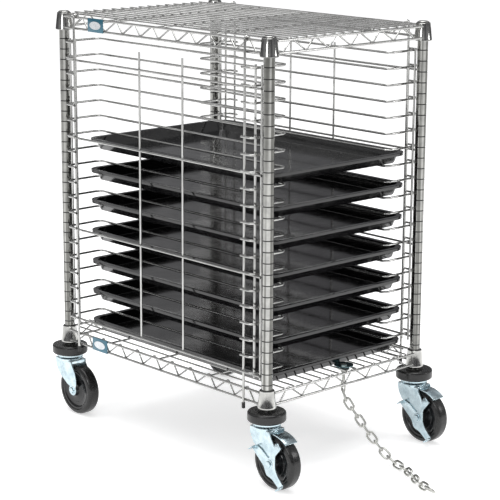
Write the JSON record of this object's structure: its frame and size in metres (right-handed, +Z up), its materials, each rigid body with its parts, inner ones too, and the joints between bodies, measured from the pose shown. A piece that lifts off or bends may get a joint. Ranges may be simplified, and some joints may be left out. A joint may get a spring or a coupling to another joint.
{
  "type": "sheet pan rack",
  "caption": "Half-height mobile wire sheet pan rack on swivel casters: grooved posts, wire shelves, hung wire pan slides, black baking trays and a grounding chain.",
  "frame": {"origin": "on the floor, midway between the four posts", "axes": "+Z up, -Y towards the loading side that the trays stand forward to, +X to the right seen from the loading side"},
  "size_m": [0.5789, 1.0825, 1.0142],
  "materials": {
    "chrome_wire": "bright chrome plated wire",
    "chrome_post": "bright chrome plated tube",
    "tray_coating": "gloss black non-stick coating on steel",
    "zinc_plate": "bright blue zinc plate",
    "wheel_core": "gloss black moulded polyolefin",
    "wheel_tread": "smooth black rubber",
    "black_plastic": "satin moulded plastic",
    "badge_face": "blank blue enamel plate",
    "black_vinyl": "soft dipped vinyl",
    "bumper_rubber": "satin black rubber",
    "ball_steel": "ground steel",
    "anchor_chrome": "polished pressed steel",
    "chain_zinc": "bright zinc plated links"
  },
  "bodies": {
    "root": {"post_front_left": "chrome_post", "post_front_right": "chrome_post", "post_rear_left": "chrome_post", "post_rear_right": "chrome_post", "post_caps": "chrome_post", "top_shelf_mat": "chrome_wire", "top_shelf_rims": "chrome_wire", "top_shelf_cross_wires": "chrome_wire", "top_shelf_zigzags": "chrome_wire", "top_shelf_collars": "chrome_post", "top_shelf_sleeves": "black_plastic", "bottom_shelf_mat": "chrome_wire", "bottom_shelf_rims": "chrome_wire", "bottom_shelf_cross_wires": "chrome_wire", "bottom_shelf_zigzags": "chrome_wire", "bottom_shelf_collars": "chrome_post", "bottom_shelf_sleeves": "black_plastic", "shelf_badges": "badge_face", "left_slide_uprights": "chrome_wire", "left_slide_runners": "chrome_wire", "right_slide_uprights": "chrome_wire", "right_slide_runners": "chrome_wire", "slide_end_tips": "black_vinyl", "caster_stems": "zinc_plate", "caster_bumpers": "bumper_rubber", "caster_balls": "ball_steel", "chain_anchor_disc": "anchor_chrome", "chain_eye_bolt": "zinc_plate", "chain_lock_nut": "zinc_plate", "drag_chain": "chain_zinc"},
    "pan_1": {"tray_1": "tray_coating"},
    "pan_2": {"tray_2": "tray_coating"},
    "pan_3": {"tray_3": "tray_coating"},
    "pan_4": {"tray_4": "tray_coating"},
    "pan_5": {"tray_5": "tray_coating"},
    "pan_6": {"tray_6": "tray_coating"},
    "pan_7": {"tray_7": "tray_coating"},
    "swivel_front_left": {"fork_front_left": "zinc_plate", "axle_front_left": "zinc_plate"},
    "wheel_front_left": {"wheel_core_front_left": "wheel_core", "tyre_front_left": "wheel_tread"},
    "swivel_front_right": {"fork_front_right": "zinc_plate", "axle_front_right": "zinc_plate"},
    "wheel_front_right": {"wheel_core_front_right": "wheel_core", "tyre_front_right": "wheel_tread"},
    "swivel_rear_left": {"fork_rear_left": "zinc_plate", "axle_rear_left": "zinc_plate"},
    "wheel_rear_left": {"wheel_core_rear_left": "wheel_core", "tyre_rear_left": "wheel_tread"},
    "swivel_rear_right": {"fork_rear_right": "zinc_plate", "axle_rear_right": "zinc_plate"},
    "wheel_rear_right": {"wheel_core_rear_right": "wheel_core", "tyre_rear_right": "wheel_tread"},
    "lever_left": {"brake_lever_left": "zinc_plate"},
    "shoe_left": {"brake_shoe_left": "zinc_plate"},
    "lever_right": {"brake_lever_right": "zinc_plate"},
    "shoe_right": {"brake_shoe_right": "zinc_plate"}
  },
  "joints": [
    {"name": "pan_1_slide", "type": "slide", "parent": "root", "child": "pan_1", "axis": [0, -1, 0], "range_m": [0, 0.6]},
    {"name": "pan_2_slide", "type": "slide", "parent": "root", "child": "pan_2", "axis": [0, -1, 0], "range_m": [0, 0.6]},
    {"name": "pan_3_slide", "type": "slide", "parent": "root", "child": "pan_3", "axis": [0, -1, 0], "range_m": [0, 0.6]},
    {"name": "pan_4_slide", "type": "slide", "parent": "root", "child": "pan_4", "axis": [0, -1, 0], "range_m": [0, 0.6]},
    {"name": "pan_5_slide", "type": "slide", "parent": "root", "child": "pan_5", "axis": [0, -1, 0], "range_m": [0, 0.6]},
    {"name": "pan_6_slide", "type": "slide", "parent": "root", "child": "pan_6", "axis": [0, -1, 0], "range_m": [0, 0.6]},
    {"name": "pan_7_slide", "type": "slide", "parent": "root", "child": "pan_7", "axis": [0, 1, 0], "range_m": [0, 0.6]},
    {"name": "swivel_front_left", "type": "hinge", "parent": "root", "child": "swivel_front_left", "pos_m": [-0.245, -0.364, 0.14], "axis": [0, 0, 1], "continuous": true},
    {"name": "roll_front_left", "type": "hinge", "parent": "swivel_front_left", "child": "wheel_front_left", "pos_m": [-0.245, -0.401, 0.0635], "axis": [1, 0, 0], "continuous": true},
    {"name": "swivel_front_right", "type": "hinge", "parent": "root", "child": "swivel_front_right", "pos_m": [0.245, -0.364, 0.14], "axis": [0, 0, 1], "continuous": true},
    {"name": "roll_front_right", "type": "hinge", "parent": "swivel_front_right", "child": "wheel_front_right", "pos_m": [0.245, -0.401, 0.0635], "axis": [1, 0, 0], "continuous": true},
    {"name": "swivel_rear_left", "type": "hinge", "parent": "root", "child": "swivel_rear_left", "pos_m": [-0.245, 0.364, 0.14], "axis": [0, 0, 1], "continuous": true},
    {"name": "roll_rear_left", "type": "hinge", "parent": "swivel_rear_left", "child": "wheel_rear_left", "pos_m": [-0.245, 0.327, 0.0635], "axis": [1, 0, 0], "continuous": true},
    {"name": "swivel_rear_right", "type": "hinge", "parent": "root", "child": "swivel_rear_right", "pos_m": [0.245, 0.364, 0.14], "axis": [0, 0, 1], "continuous": true},
    {"name": "roll_rear_right", "type": "hinge", "parent": "swivel_rear_right", "child": "wheel_rear_right", "pos_m": [0.245, 0.327, 0.0635], "axis": [1, 0, 0], "continuous": true},
    {"name": "brake_lever_left", "type": "hinge", "parent": "swivel_front_left", "child": "lever_left", "pos_m": [-0.245, -0.401, 0.0635], "axis": [-1, 0, 0], "range_deg": [0, 20]},
    {"name": "brake_shoe_left", "type": "hinge", "parent": "swivel_front_left", "child": "shoe_left", "pos_m": [-0.245, -0.394, 0.131], "axis": [1, 0, 0], "range_deg": [0, 2.5]},
    {"name": "brake_lever_right", "type": "hinge", "parent": "swivel_front_right", "child": "lever_right", "pos_m": [0.245, -0.401, 0.0635], "axis": [-1, 0, 0], "range_deg": [0, 20]},
    {"name": "brake_shoe_right", "type": "hinge", "parent": "swivel_front_right", "child": "shoe_right", "pos_m": [0.245, -0.394, 0.131], "axis": [1, 0, 0], "range_deg": [0, 2.5]}
  ],
  "couplings": [
    {"joint": "brake_shoe_left", "follows": "brake_lever_left", "ratio": 0.125},
    {"joint": "brake_shoe_right", "follows": "brake_lever_right", "ratio": 0.125}
  ]
}
